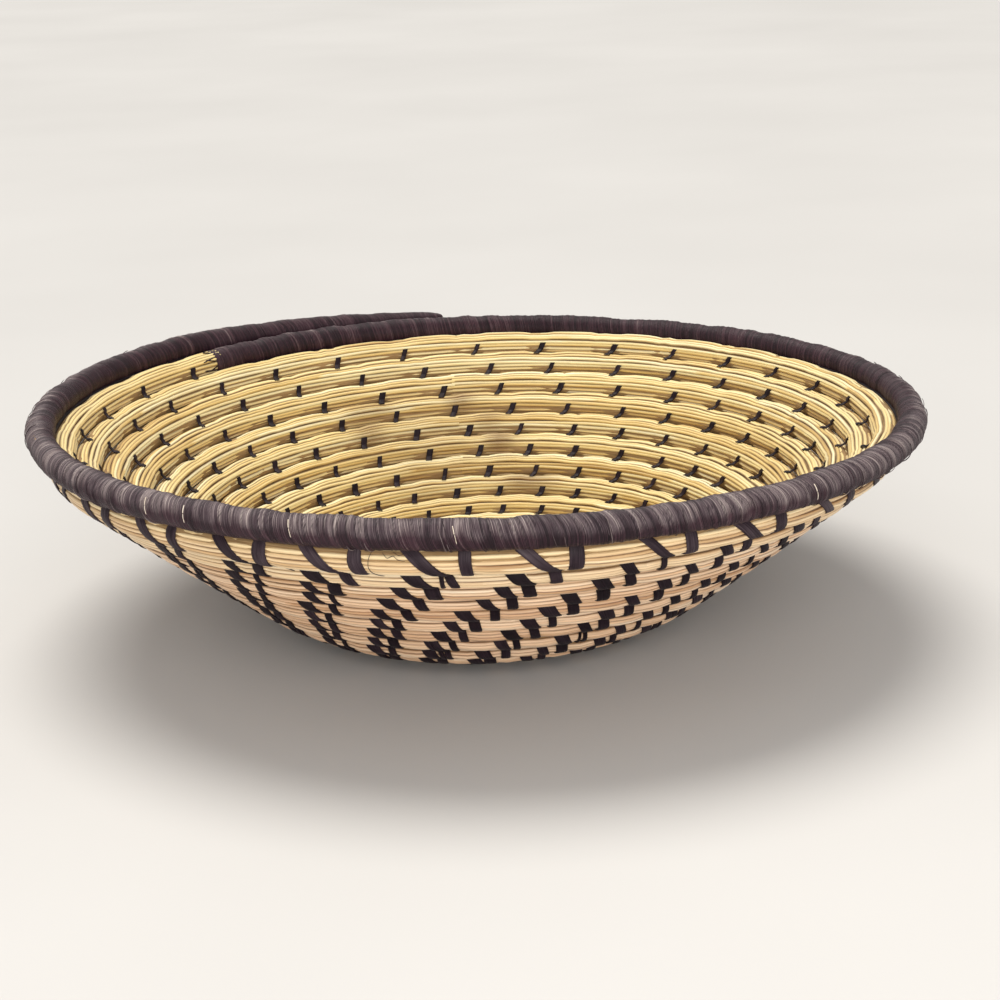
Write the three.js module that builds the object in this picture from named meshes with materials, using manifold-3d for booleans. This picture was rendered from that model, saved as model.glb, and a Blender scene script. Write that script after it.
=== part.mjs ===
// A coiled basket bowl: one bundle of straw wound from the middle of the base to the rim,
// dark strips that sew each row to the row below, and a rim row wrapped all round.
// Millimetres, +Z up, origin under the middle of the bowl on the surface that it stands on.
import * as THREE from 'three';
import { mergeVertices } from 'three/addons/utils/BufferGeometryUtils.js';
import Module from 'manifold-3d';

// Side view of the wall: a flat base, then two arcs up, with slopes in degrees from level
const SPAN = 282;               // across the bowl to the middle of the row under the rim's end
const BASE_LENGTH = 37;
const EDGE_LENGTH = 47;
const EDGE_SLOPE = 38;
const WALL_SLOPE = 40;
const STEEP_LEAN = 60;          // slope from the row under the rim to the rim, where steepest
const FLAT_LEAN = 25;           // the same across the bowl, where the rim leans furthest out
const STEEP_ANGLE = -120;       // direction of the steepest place: the front, and a little left

// The coil: a six-sided bundle, flat where it faces the next row, ridged inside and outside
const ROWS = 17.5;              // turns from the middle of the base to the end of the rim
const ROW_GAP = 0.7;            // between the flat flanks of two rows
const BUNDLE_DEPTH = 10;        // from ridge to ridge, through the wall
const FLANK_DEPTH = 3.2;        // height of a flat flank, through the wall
const STEPS_PER_TURN = 24;
const START_SHARE = 0.45;       // the bundle's start is thinned to curl round the middle
const START_TURNS = 0.5;        // and is full after this much of a turn
const BASE_CUT = 0.95;          // taken off the lowest ridges, so that the bowl stands flat

// The rim: a sleeve of wrapping strip round the last row, which thins out at its end
const RIM_SLACK = 0.45;         // how much thinner the sleeve is than a row is high
const WRAP_THICKNESS = 0.5;
const WRAP_CLEARANCE = 0.3;
const WRAP_SIDES = 8;
const RIM_ROOM = 0.4;           // how much further the rim is from the row under it than a row
const RISE_TURNS = 0.2;         // in which the rim takes up its lean
const OVERLAP_TURNS = 0.1;      // of the rim's end, lying on the wrapped start
const TAPER_TURNS = 0.12;
const TIP_SHARE = 0.4;          // how thick the tip is, as a share of the rim
const TIP_LENGTH = 2;           // of wrapping beyond the end of the bundle
const RIM_END_ANGLE = 95;       // the rim ends at the back; the coil runs clockwise from above

// The sewing: a strand in the groove under each row, and forked stitches across two rows
const STITCHES_PER_TURN = 29.2; // the 0.2 over 29 turns the columns into a swirl
const DRIFT = 6.5;              // degrees that the stitches drift off their even spacing, at most
const DRIFT_ANGLE = -10;        // where they drift most, on the right
const DRIFT_POWER = 4;          // how soon the drift dies away from there
const STRIP_WIDTH = 3.6;
const STRIP_CROWDING = 0.15;    // widest strip, as a share of the spacing, where rows are short
const STRIP_THICKNESS = 0.5;
const STRIP_SEAT = 0.42;        // between a strip and the bundle that it lies on
const STRAND_WIDTH = 1.8;
const SLANT = 0.16;             // lean of the upper leg, as a share of the spacing
const TOP_SLANT = 0.31;         // the same on the row under the rim
const LEG_REACH = 3.5;          // how far past the ridge a leg goes
const STRIP_END_GAP = 0.8;      // along the groove, between the ends of two strips
const END_CLEARANCE = 2;        // of a stitch from the strip's end, in halves of its width
const CORNER_CLEARANCE = 1.2;   // of a stitch's middle from a corner of the bundle, the same
const STITCHED_ROWS = 10;       // rows with forked stitches, counted down from the rim
const BASE_STRIP_TURNS = 2;     // turns that one strip sews where the rows are short
const BASE_SEWING_START = 1.25; // the first groove, round the middle

const ONE_ROW = 1;              // in turns
const GROOVE = ONE_ROW / 2;     // from the middle of a row to the groove under it
const HALF_WAY = 0.5;
const SLIVER = 1e-9;            // less than this past a corner counts as the corner

// The wall over the edge is as long as it takes to reach the span
const radians = THREE.MathUtils.degToRad;

// How far an arc of the side view goes outwards, for each millimetre of its length
function outwardShare(from, to) {
  return from === to ? Math.cos(from) : (Math.sin(to) - Math.sin(from)) / (to - from);
}

const EDGE_TURN = radians(EDGE_SLOPE);
const WALL_TURN = radians(WALL_SLOPE);
const EDGE_REACH = EDGE_LENGTH * outwardShare(0, EDGE_TURN);
const WALL_REACH = SPAN / 2 - BASE_LENGTH - EDGE_REACH;
const WALL_LENGTH = WALL_REACH / outwardShare(EDGE_TURN, WALL_TURN);

const ROW_PITCH = (BASE_LENGTH + EDGE_LENGTH + WALL_LENGTH) / (ROWS - ONE_ROW);
const RIM_RADIUS = (ROW_PITCH - RIM_SLACK) / 2;
const RIM_PITCH = ROW_PITCH + RIM_ROOM;
const HALF_PITCH = ROW_PITCH / 2;
const HALF_ROW = (ROW_PITCH - ROW_GAP) / 2;
const HALF_DEPTH = BUNDLE_DEPTH / 2;
const HALF_FLANK = FLANK_DEPTH / 2;
const FACE_RISE = (HALF_DEPTH - HALF_FLANK) / HALF_ROW;
const FACE_SEAT = STRIP_SEAT * Math.hypot(1, FACE_RISE);
const RIM_START = ROWS - ONE_ROW - OVERLAP_TURNS;
const TURN = 2 * Math.PI;
const BASE_HEIGHT = HALF_DEPTH - BASE_CUT;

const STRETCHES = [
  { length: BASE_LENGTH, from: 0, to: 0 },
  { length: EDGE_LENGTH, from: 0, to: EDGE_TURN },
  { length: WALL_LENGTH, from: EDGE_TURN, to: WALL_TURN },
];

// Where the middle of the wall is, and how steep, at a distance along it from the middle
function wallAt(distance) {
  let r = 0;
  let z = BASE_HEIGHT;
  let slope = 0;
  let left = distance;
  for (const [index, stretch] of STRETCHES.entries()) {
    const last = index === STRETCHES.length - 1;
    const step = last ? left : Math.min(left, stretch.length);
    const bend = (stretch.to - stretch.from) / stretch.length;
    slope = stretch.from + bend * step;
    if (bend === 0) {
      r += step * Math.cos(slope);
      z += step * Math.sin(slope);
    } else {
      r += (Math.sin(slope) - Math.sin(stretch.from)) / bend;
      z += (Math.cos(stretch.from) - Math.cos(slope)) / bend;
    }
    left -= step;
    if (left <= 0) break;
  }
  return { r, z, slope };
}

function angleAt(turn) {
  return radians(RIM_END_ANGLE) - (turn - ROWS) * TURN;
}

// Slope from the row under the rim to the rim, which starts as the wall's own
function leanAt(turn) {
  const middle = (STEEP_LEAN + FLAT_LEAN) / 2;
  const swing = (STEEP_LEAN - FLAT_LEAN) / 2;
  const lean = radians(middle + swing * Math.cos(angleAt(turn) - radians(STEEP_ANGLE)));
  const share = THREE.MathUtils.smoothstep(turn, RIM_START, RIM_START + RISE_TURNS);
  return WALL_TURN + (lean - WALL_TURN) * share;
}

// The middle of the bundle at a turn; the rim stands off the row under it
function middleAt(turn) {
  if (turn <= RIM_START) return wallAt(turn * ROW_PITCH);
  const under = middleAt(turn - ONE_ROW);
  const slope = leanAt(turn);
  return {
    r: under.r + RIM_PITCH * Math.cos(slope),
    z: under.z + RIM_PITCH * Math.sin(slope),
    slope,
  };
}

// A point near the row this many turns up, at the angle of a turn: up along the wall and out of it
function pointAt(turn, rowsUp, up, out) {
  const { r, z, slope } = middleAt(turn + rowsUp);
  const radius = r + up * Math.cos(slope) + out * Math.sin(slope);
  const height = z + up * Math.sin(slope) - out * Math.cos(slope);
  const angle = angleAt(turn);
  return new THREE.Vector3(radius * Math.cos(angle), radius * Math.sin(angle), height);
}

// The bundle bends at corners, counted in steps from the start of the rim
function stepOf(turn) {
  return (turn - RIM_START) * STEPS_PER_TURN;
}

function turnOfStep(step) {
  return RIM_START + step / STEPS_PER_TURN;
}

// A point on the straight stretch between two corners, where place(turn) gives a corner's own
function onFacets(turn, place) {
  const step = Math.floor(stepOf(turn) + SLIVER);
  const from = place(turnOfStep(step));
  return from.lerp(place(turnOfStep(step + 1)), stepOf(turn) - step);
}

// The length of one turn at a distance along the wall
function turnLength(distance) {
  return TURN * wallAt(distance).r;
}

// Meshes

// Rings of points, in order, joined into one closed skin with a cap at each end
function loft(rings) {
  const positions = rings.flat().flatMap((point) => point.toArray());
  const sides = rings[0].length;
  const index = [];
  for (let ring = 0; ring < rings.length - 1; ring += 1) {
    for (let side = 0; side < sides; side += 1) {
      const next = (side + 1) % sides;
      const a = ring * sides + side;
      const b = ring * sides + next;
      index.push(a, b + sides, b, a, a + sides, b + sides);
    }
  }
  const last = (rings.length - 1) * sides;
  for (let side = 1; side < sides - 1; side += 1) {
    index.push(0, side, side + 1);
    index.push(last, last + side + 1, last + side);
  }
  return indexed(positions, index);
}

function indexed(positions, index) {
  const geometry = new THREE.BufferGeometry();
  geometry.setAttribute('position', new THREE.Float32BufferAttribute(positions, 3));
  geometry.setIndex(index);
  return geometry;
}

const wasm = await Module();
wasm.setup();

function solidOf(geometry) {
  const bare = geometry.clone();
  bare.deleteAttribute('normal');
  bare.deleteAttribute('uv');
  const merged = mergeVertices(bare);
  return new wasm.Manifold(new wasm.Mesh({
    numProp: 3,
    vertProperties: new Float32Array(merged.attributes.position.array),
    triVerts: new Uint32Array(merged.index.array),
  }));
}

function geometryOf(solid) {
  const mesh = solid.getMesh();
  return indexed(Array.from(mesh.vertProperties), Array.from(mesh.triVerts));
}

// Cuts a geometry off level with the surface that the bowl stands on
function standFlat(geometry) {
  geometry.computeBoundingSphere();
  const size = 4 * geometry.boundingSphere.radius;
  const below = new THREE.BoxGeometry(size, size, size).translate(0, 0, -size / 2);
  return geometryOf(solidOf(geometry).subtract(solidOf(below)));
}

// The bundle

// Thickness along the rim, which runs out at its end
function rimRadius(turn) {
  const taper = Math.max(0, (turn - (ROWS - TAPER_TURNS)) / TAPER_TURNS);
  return RIM_RADIUS * (1 - taper * (1 - TIP_SHARE));
}

// The rim row stays on the row under it where it gets thinner
function rimDrop(turn) {
  return rimRadius(turn) - RIM_RADIUS;
}

// The bundle is thin where it starts, and drawn together where the wrapping covers it
function bundleShare(turn) {
  if (turn < START_TURNS) return START_SHARE + (1 - START_SHARE) * turn / START_TURNS;
  if (turn < RIM_START - SLIVER) return 1;
  const bore = (rimRadius(turn) - WRAP_THICKNESS) * Math.cos(Math.PI / WRAP_SIDES);
  return (bore - WRAP_CLEARANCE) / HALF_DEPTH;
}

const BUNDLE_OUTLINE = [
  [0, -HALF_DEPTH],
  [HALF_ROW, -HALF_FLANK],
  [HALF_ROW, HALF_FLANK],
  [0, HALF_DEPTH],
  [-HALF_ROW, HALF_FLANK],
  [-HALF_ROW, -HALF_FLANK],
];

// The thin start lies against the second row, and the thin end on the row under it
function bundleShift(turn) {
  if (turn < START_TURNS) return HALF_ROW * (1 - bundleShare(turn));
  return turn < RIM_START ? 0 : rimDrop(turn);
}

function bundleRing(turn) {
  const share = bundleShare(turn);
  const shift = bundleShift(turn);
  return BUNDLE_OUTLINE.map(([up, out]) => pointAt(turn, 0, up * share + shift, out * share));
}

// The ends of a stretch and the corners between them
function turnsBetween(first, last) {
  const turns = [first];
  const next = Math.floor(stepOf(first) + SLIVER) + 1;
  for (let step = next; step < stepOf(last) - SLIVER; step += 1) {
    turns.push(turnOfStep(step));
  }
  turns.push(last);
  return turns;
}

const LAST_TURN_LENGTH = TURN * middleAt(ROWS).r;
const BUNDLE_END = ROWS - TIP_LENGTH / LAST_TURN_LENGTH;
const BORE_END = BUNDLE_END + WRAP_CLEARANCE / LAST_TURN_LENGTH;

function foundationCoil() {
  return standFlat(loft(turnsBetween(0, BUNDLE_END).map(bundleRing)));
}

// Least distance from the corners of each ring to the sides of the ring a turn further out
function leastRowGap() {
  let least = Infinity;
  const side = new THREE.Line3();
  const nearest = new THREE.Vector3();
  const measure = (corners, ring) => {
    for (const corner of corners) {
      ring.forEach((point, index) => {
        side.set(point, ring[(index + 1) % ring.length]);
        side.closestPointToPoint(corner, true, nearest);
        least = Math.min(least, nearest.distanceTo(corner));
      });
    }
  };
  for (const turn of turnsBetween(0, BUNDLE_END - ONE_ROW)) {
    measure(bundleRing(turn), bundleRing(turn + ONE_ROW));
    measure(bundleRing(turn + ONE_ROW), bundleRing(turn));
  }
  return least;
}

// The rim's wrapping: a sock over the last row, open at its start and closed at the tip
function wrapRing(turn, inset) {
  const radius = rimRadius(turn) - inset;
  const ring = [];
  for (let side = 0; side < WRAP_SIDES; side += 1) {
    const angle = (side + 0.5) * TURN / WRAP_SIDES;
    const up = radius * Math.cos(angle) + rimDrop(turn);
    ring.push(pointAt(turn, 0, up, radius * Math.sin(angle)));
  }
  return ring;
}

function rimWrap() {
  const inside = turnsBetween(RIM_START, BORE_END);
  const outside = turnsBetween(RIM_START, ROWS);
  return loft([
    ...inside.reverse().map((turn) => wrapRing(turn, WRAP_THICKNESS)),
    ...outside.map((turn) => wrapRing(turn, 0)),
  ]);
}

// The sewing

// Height of a bundle's sloping face over the middle of the wall, this far from its ridge
function faceAt(up) {
  return HALF_DEPTH - Math.abs(up) * FACE_RISE;
}

// The strand's two edges lie on the rows on both sides of its groove
const EDGE_UP = HALF_PITCH - STRAND_WIDTH / 2;
const STRAND_FOOT = faceAt(EDGE_UP) + FACE_SEAT;
const RIM_FOOT = Math.sqrt((RIM_RADIUS + STRIP_SEAT) ** 2 - EDGE_UP ** 2);

function strandCorners(turn, foot) {
  const upperEdge = (corner) => pointAt(corner, 0, -EDGE_UP, foot);
  const lowerEdge = (corner) => pointAt(corner, -ONE_ROW, EDGE_UP, STRAND_FOOT);
  const ridgeLine = (corner) => {
    const upper = upperEdge(corner);
    const lower = lowerEdge(corner);
    const across = new THREE.Vector3().subVectors(upper, lower);
    const along = new THREE.Vector3(Math.sin(angleAt(corner)), -Math.cos(angleAt(corner)), 0);
    const outwards = new THREE.Vector3().crossVectors(across, along).setLength(STRIP_THICKNESS);
    return lower.lerp(upper, HALF_WAY).add(outwards);
  };
  return {
    upper: onFacets(turn, upperEdge),
    lower: onFacets(turn, lowerEdge),
    ridge: onFacets(turn, ridgeLine),
  };
}

// One edge of a leg: its underside and top at the ridge of a row, and its end on the far face
function legEdge(turn, rowsUp, direction, lean) {
  const onRow = (spot, up, out) => onFacets(spot, (corner) => {
    const share = bundleShare(corner + rowsUp);
    return pointAt(corner, rowsUp, up * share, out * share + FACE_SEAT);
  });
  const ridgeTurn = turn + lean * HALF_PITCH / ROW_PITCH;
  const endTurn = turn + lean * (HALF_PITCH + LEG_REACH) / ROW_PITCH;
  const raise = new THREE.Vector3();
  const under = onRow(ridgeTurn, 0, HALF_DEPTH);
  raise.subVectors(pointAt(ridgeTurn, rowsUp, 0, STRIP_THICKNESS), pointAt(ridgeTurn, rowsUp, 0, 0));
  return {
    under,
    top: under.clone().add(raise),
    end: onRow(endTurn, direction * LEG_REACH, faceAt(LEG_REACH)),
  };
}

// A closed mesh gathered quad by quad
class Skin {
  constructor() {
    this.positions = [];
    this.index = [];
  }

  add(point) {
    this.positions.push(...point.toArray());
    return this.positions.length / 3 - 1;
  }

  addAll(points) {
    return Object.fromEntries(Object.entries(points).map(([name, point]) => [name, this.add(point)]));
  }

  triangle(a, b, c) {
    this.index.push(a, c, b);
  }

  quad(a, b, c, d) {
    this.index.push(a, c, b, a, d, c);
  }
}

// A leg up the wall, between the left and the right edge of the strip
function upperLeg(skin, left, right, leftLeg, rightLeg) {
  skin.quad(left.ridge, right.ridge, rightLeg.top, leftLeg.top);
  skin.quad(left.upper, leftLeg.under, rightLeg.under, right.upper);
  skin.quad(left.upper, left.ridge, leftLeg.top, leftLeg.under);
  skin.quad(right.upper, rightLeg.under, rightLeg.top, right.ridge);
  skin.quad(leftLeg.top, rightLeg.top, rightLeg.end, leftLeg.end);
  skin.quad(leftLeg.under, leftLeg.end, rightLeg.end, rightLeg.under);
  skin.triangle(leftLeg.under, leftLeg.top, leftLeg.end);
  skin.triangle(rightLeg.under, rightLeg.end, rightLeg.top);
}

// A leg down the wall
function lowerLeg(skin, left, right, leftLeg, rightLeg) {
  skin.quad(leftLeg.top, rightLeg.top, right.ridge, left.ridge);
  skin.quad(leftLeg.under, left.lower, right.lower, rightLeg.under);
  skin.quad(leftLeg.under, leftLeg.top, left.ridge, left.lower);
  skin.quad(rightLeg.under, right.lower, right.ridge, rightLeg.top);
  skin.quad(leftLeg.end, rightLeg.end, rightLeg.top, leftLeg.top);
  skin.quad(leftLeg.end, leftLeg.under, rightLeg.under, rightLeg.end);
  skin.triangle(leftLeg.end, leftLeg.top, leftLeg.under);
  skin.triangle(rightLeg.end, rightLeg.under, rightLeg.top);
}

function grooveLength(turn) {
  return turnLength((turn - GROOVE) * ROW_PITCH);
}

// Where a stitch lies, by its number from the middle of the base
function stitchTurn(stitch) {
  const even = stitch / STITCHES_PER_TURN;
  const nearness = (1 + Math.cos(angleAt(even) - radians(DRIFT_ANGLE))) / 2;
  return even - radians(DRIFT) / TURN * nearness ** DRIFT_POWER;
}

// Half the width of the strip, in turns
function halfStrip(turn) {
  const length = grooveLength(turn);
  const spacing = length / STITCHES_PER_TURN;
  return Math.min(STRIP_WIDTH, spacing * STRIP_CROWDING) / 2 / length;
}

// Stations along a strand: both edges of each stitch, and the corners of the bundle between
function strandStations(first, last, stitched, lean) {
  const stations = [{ turn: first, opens: false }];
  const stitches = [];
  if (stitched) {
    const firstStitch = Math.ceil(first * STITCHES_PER_TURN);
    for (let stitch = firstStitch; stitchTurn(stitch) < last; stitch += 1) {
      const turn = stitchTurn(stitch);
      const half = halfStrip(turn);
      const room = Math.min(turn - first, last - lean - turn);
      if (room > END_CLEARANCE * half) stitches.push({ turn, half });
    }
  }
  for (const { turn, half } of stitches) {
    stations.push({ turn: turn - half, opens: true });
    stations.push({ turn: turn + half, opens: false });
  }
  const crowded = (corner) => stitches.some(({ turn, half }) => {
    return Math.abs(turn - corner) < CORNER_CLEARANCE * half;
  });
  for (const turn of turnsBetween(first, last).slice(1, -1)) {
    if (!crowded(turn)) stations.push({ turn, opens: false });
  }
  stations.push({ turn: last, opens: false });
  return stations.sort((a, b) => a.turn - b.turn);
}

// A strip between two places along the groove, given as the turn of the row above the groove
function sewingStrip({ first, last, upper, lower, slant, foot }) {
  const start = first + STRIP_END_GAP / 2 / grooveLength(first);
  const end = last - STRIP_END_GAP / 2 / grooveLength(last);
  const lean = slant / STITCHES_PER_TURN;
  const stations = strandStations(start, end, upper || lower, lean);
  const skin = new Skin();
  const corners = stations.map(({ turn }) => skin.addAll(strandCorners(turn, foot)));
  corners.slice(0, -1).forEach((here, index) => {
    const next = corners[index + 1];
    const leftTurn = stations[index].turn;
    const rightTurn = stations[index + 1].turn;
    const opens = stations[index].opens;
    skin.quad(here.lower, here.upper, next.upper, next.lower);
    if (opens && upper) {
      const leftLeg = skin.addAll(legEdge(leftTurn, 0, 1, lean));
      const rightLeg = skin.addAll(legEdge(rightTurn, 0, 1, lean));
      upperLeg(skin, here, next, leftLeg, rightLeg);
    } else {
      skin.quad(here.ridge, next.ridge, next.upper, here.upper);
    }
    if (opens && lower) {
      const leftLeg = skin.addAll(legEdge(leftTurn, -1, -1, 0));
      const rightLeg = skin.addAll(legEdge(rightTurn, -1, -1, 0));
      lowerLeg(skin, here, next, leftLeg, rightLeg);
    } else {
      skin.quad(here.lower, next.lower, next.ridge, here.ridge);
    }
  });
  const head = corners[0];
  const tail = corners[corners.length - 1];
  skin.triangle(head.upper, head.lower, head.ridge);
  skin.triangle(tail.ridge, tail.lower, tail.upper);
  return indexed(skin.positions, skin.index);
}

// The basket

const STRAW = { color: 0xdcbd8e, roughness: 0.7, metalness: 0 };
const DARK_STRIP = { color: 0x2b2226, roughness: 0.55, metalness: 0 };
const RIM_STRIP = { color: 0x4b3c41, roughness: 0.5, metalness: 0 };

const basket = new THREE.Group();

function addPiece(name, geometry, look) {
  const mesh = new THREE.Mesh(geometry, new THREE.MeshStandardMaterial(look));
  mesh.name = name;
  basket.add(mesh);
}

addPiece('foundation_coil', foundationCoil(), STRAW);
addPiece('rim_wrap', rimWrap(), RIM_STRIP);
addPiece('rim_lashing', sewingStrip({
  first: RIM_START,
  last: RIM_START + ONE_ROW,
  upper: false,
  lower: true,
  slant: 0,
  foot: RIM_FOOT,
}), RIM_STRIP);

for (let row = 1; row <= STITCHED_ROWS; row += 1) {
  addPiece(`sewing_strip_row_${String(row).padStart(2, '0')}`, sewingStrip({
    first: RIM_START - row,
    last: RIM_START - row + ONE_ROW,
    upper: true,
    lower: row < STITCHED_ROWS,
    slant: row === 1 ? TOP_SLANT : SLANT,
    foot: STRAND_FOOT,
  }), DARK_STRIP);
}

let baseStrip = 1;
for (let last = RIM_START - STITCHED_ROWS; last > BASE_SEWING_START; last -= BASE_STRIP_TURNS) {
  addPiece(`base_sewing_strip_${baseStrip}`, sewingStrip({
    first: Math.max(BASE_SEWING_START, last - BASE_STRIP_TURNS),
    last,
    upper: false,
    lower: false,
    slant: 0,
    foot: STRAND_FOOT,
  }), DARK_STRIP);
  baseStrip += 1;
}

console.log(`least gap between two rows of the bundle: ${leastRowGap().toFixed(2)} mm`);

export default basket;
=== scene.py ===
import bpy
import numpy as np
from mathutils import Matrix, Vector
from numpy.random import default_rng


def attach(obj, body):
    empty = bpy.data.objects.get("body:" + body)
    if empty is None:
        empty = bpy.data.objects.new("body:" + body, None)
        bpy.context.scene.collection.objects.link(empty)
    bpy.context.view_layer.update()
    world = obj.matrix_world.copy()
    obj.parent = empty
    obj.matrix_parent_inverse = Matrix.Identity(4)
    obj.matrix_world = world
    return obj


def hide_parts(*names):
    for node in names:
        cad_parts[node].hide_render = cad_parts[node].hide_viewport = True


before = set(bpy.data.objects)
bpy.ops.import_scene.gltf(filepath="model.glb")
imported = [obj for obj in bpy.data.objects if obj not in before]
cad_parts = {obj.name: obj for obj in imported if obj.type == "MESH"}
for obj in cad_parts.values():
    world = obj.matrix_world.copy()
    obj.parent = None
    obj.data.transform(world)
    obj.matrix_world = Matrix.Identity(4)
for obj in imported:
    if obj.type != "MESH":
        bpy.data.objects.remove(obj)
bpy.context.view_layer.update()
SCENE = bpy.context.scene

# The wall and the coil in side view, in millimetres, as in the solids
MM = 0.001
TURN = 2 * np.pi
SPAN = 282.0  # across the middle of the row under the end of the rim
BASE_LENGTH = 37.0
EDGE_LENGTH = 47.0
EDGE_SLOPE = np.radians(38.0)
WALL_SLOPE = np.radians(40.0)
STEEP_LEAN = np.radians(60.0)
FLAT_LEAN = np.radians(25.0)
STEEP_ANGLE = np.radians(-120.0)
BASE_HEIGHT = 4.05
ROWS = 17.5
RIM_START = 16.4
RIM_END_ANGLE = np.radians(95.0)
RIM_ROOM = 0.4
ROW_GAP = 0.45
RISE_TURNS = 0.2
TAPER_TURNS = 0.12
TIP_SHARE = 0.4

# The sewing, as in the solids
STITCHES_PER_TURN = 29.2
DRIFT = np.radians(6.5)
DRIFT_ANGLE = np.radians(-10.0)
DRIFT_POWER = 4
STITCHED_ROWS = 10
BASE_STRIPS = 3
BASE_STRIP_TURNS = 2
FIRST_STITCH = 1.25
EVERY_SECOND_BELOW = RIM_START - 12
EVERY_FOURTH_BELOW = RIM_START - 14
TOP_SLANT = 0.31
SLANT = 0.165


def outward_share(low, high):
    """How far a bending stretch reaches outwards, as a share of its length."""
    return (np.sin(high) - np.sin(low)) / (high - low)


EDGE_REACH = EDGE_LENGTH * outward_share(0.0, EDGE_SLOPE)
WALL_LENGTH = (SPAN / 2 - BASE_LENGTH - EDGE_REACH) / outward_share(EDGE_SLOPE, WALL_SLOPE)
PITCH = (BASE_LENGTH + EDGE_LENGTH + WALL_LENGTH) / (ROWS - 1)
RIM_PITCH = PITCH + RIM_ROOM
RIM_RADIUS = (PITCH - ROW_GAP) / 2
STRETCHES = [
    (BASE_LENGTH, 0.0, 0.0),
    (EDGE_LENGTH, 0.0, EDGE_SLOPE),
    (WALL_LENGTH, EDGE_SLOPE, WALL_SLOPE),
]


def unit(value):
    return np.clip(value, 0.0, 1.0)


def smooth_step(share):
    share = unit(share)
    return share * share * (3 - 2 * share)


def wall_at(distance):
    """Radius, height and slope of the middle of the wall, by distance along it from the axis."""
    distance = np.asarray(distance, float)
    radius = np.zeros_like(distance)
    height = np.full_like(distance, BASE_HEIGHT)
    slope = np.zeros_like(distance)
    start = 0.0
    for number, (length, low, high) in enumerate(STRETCHES):
        step = np.maximum(distance - start, 0.0)
        if number < len(STRETCHES) - 1:
            step = np.minimum(step, length)
        bend = (high - low) / length
        here = low + bend * step
        if bend == 0:
            radius = radius + step
        else:
            radius = radius + (np.sin(here) - np.sin(low)) / bend
            height = height + (np.cos(low) - np.cos(here)) / bend
        slope = np.where(distance > start, here, slope)
        start += length
    return radius, height, slope


def angle_at(turn):
    """The coil runs clockwise, seen from above."""
    return RIM_END_ANGLE - (turn - ROWS) * TURN


def lean_at(turn):
    """Slope from the row under the rim to the rim."""
    middle = (STEEP_LEAN + FLAT_LEAN) / 2
    swing = (STEEP_LEAN - FLAT_LEAN) / 2
    lean = middle + swing * np.cos(angle_at(turn) - STEEP_ANGLE)
    return WALL_SLOPE + (lean - WALL_SLOPE) * smooth_step((turn - RIM_START) / RISE_TURNS)


def middle_at(turn):
    """The middle of the bundle; the rim stands off the row under it."""
    turn = np.asarray(turn, float)
    radius, height, slope = wall_at(turn * PITCH)
    is_rim = turn > RIM_START
    if is_rim.any():
        under_radius, under_height, _ = middle_at(np.where(is_rim, turn - 1, 0.0))
        lean = lean_at(turn)
        radius = np.where(is_rim, under_radius + RIM_PITCH * np.cos(lean), radius)
        height = np.where(is_rim, under_height + RIM_PITCH * np.sin(lean), height)
        slope = np.where(is_rim, lean, slope)
    return radius, height, slope


def place(turn, up, out, rows_up=0.0):
    """Points in metres, by turn of the coil, distance up the wall from the row and out of the wall."""
    radius, height, slope = middle_at(turn + rows_up)
    radius = radius + up * np.cos(slope) + out * np.sin(slope)
    height = height + up * np.sin(slope) - out * np.cos(slope)
    angle = angle_at(turn)
    return np.stack([radius * np.cos(angle), radius * np.sin(angle), height], axis=-1) * MM


def turn_length(turn):
    return TURN * wall_at(turn * PITCH)[0]


def coil_distance(turns):
    """About how much of the bundle lies before a turn, in metres."""
    return turns * turn_length(turns) / 2 * MM


def rim_size(turn):
    """Thickness along the rim, as a share: it runs out at its end."""
    return 1 - unit((turn - (ROWS - TAPER_TURNS)) / TAPER_TURNS) * (1 - TIP_SHARE)


def rim_drop(turn):
    """The rim stays on the row under it where it gets thinner."""
    return (rim_size(turn) - 1) * RIM_RADIUS


# Where the stitches are: even, but for a drift on the right and the maker's hand

SPARE_STITCHES = 40
HAND_SPREAD = 0.028
HAND_LIMIT = 0.055
STITCH_NUMBERS = np.arange(int(ROWS * STITCHES_PER_TURN) + SPARE_STITCHES)


def stitch_places():
    """The turn at which each stitch crosses its groove."""
    even = STITCH_NUMBERS / STITCHES_PER_TURN
    nearness = (1 + np.cos(angle_at(even) - DRIFT_ANGLE)) / 2
    hand = default_rng(41).normal(0, HAND_SPREAD, len(even))
    hand = hand.clip(-HAND_LIMIT, HAND_LIMIT) / STITCHES_PER_TURN
    return even - DRIFT / TURN * nearness ** DRIFT_POWER + hand


STITCH_TURNS = stitch_places()


def count_at(turn):
    """The number of the stitch at a turn, with a share of the way to the next."""
    return np.interp(turn, STITCH_TURNS, STITCH_NUMBERS)


def stitches_apart(turn):
    """Towards the middle only every second stitch is made, and then every fourth."""
    return np.where(turn < EVERY_FOURTH_BELOW, 4, np.where(turn < EVERY_SECOND_BELOW, 2, 1))


def numbers_between(first, last):
    """The stitches whose crossing lies between two turns."""
    chosen = STITCH_NUMBERS[(STITCH_TURNS >= first) & (STITCH_TURNS < last)]
    apart = stitches_apart(STITCH_TURNS[chosen] - 0.5)
    return chosen[chosen % apart == 0]


# The lean of the legs, by direction off the bundle: 0 degrees is out of the wall, 90 is up it

LEG_TOP = 62.0
RIM_TUCK = 12.0
LEAN_START = -25.0
FOOT_LEAN = 0.03
FOOT_START = 54.0


def to_the_rim(turn):
    """The direction from a row to the rim over it, in degrees."""
    return 90 + np.degrees(lean_at(turn + 1) - WALL_SLOPE)


def lean_share(angle, top):
    """How much of its lean an upper leg has taken up at a direction in degrees."""
    return unit((angle - LEAN_START) / (top - LEAN_START))


def foot_share(angle):
    """How much of its smaller lean a lower leg has taken up."""
    return unit((FOOT_START - angle) / FOOT_START)


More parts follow.
